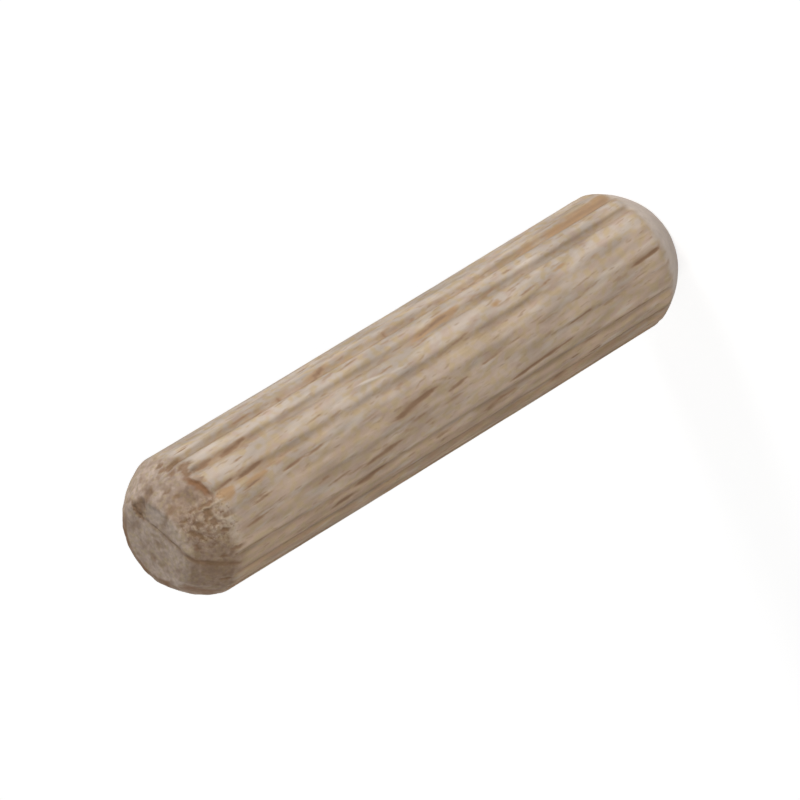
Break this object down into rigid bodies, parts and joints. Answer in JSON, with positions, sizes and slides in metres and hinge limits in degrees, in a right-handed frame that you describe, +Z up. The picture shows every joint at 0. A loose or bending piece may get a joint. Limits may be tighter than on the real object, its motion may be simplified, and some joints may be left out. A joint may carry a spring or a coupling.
{
  "type": "dowel pin",
  "caption": "Fluted beech dowel pin with rounded chamfered ends, for glued wood joints.",
  "frame": {"origin": "middle of the lower, clean tip face, which the pin stands on", "axes": "+Z up the pin, towards its rough, split tip; the chip in that tip's rim is 64 degrees round from -Y, towards +X"},
  "size_m": [0.0078, 0.0078, 0.0355],
  "materials": {
    "beech": "raw, unsanded, with ray flecks"
  },
  "bodies": {
    "root": {"dowel_pin": "beech"}
  },
  "joints": []
}
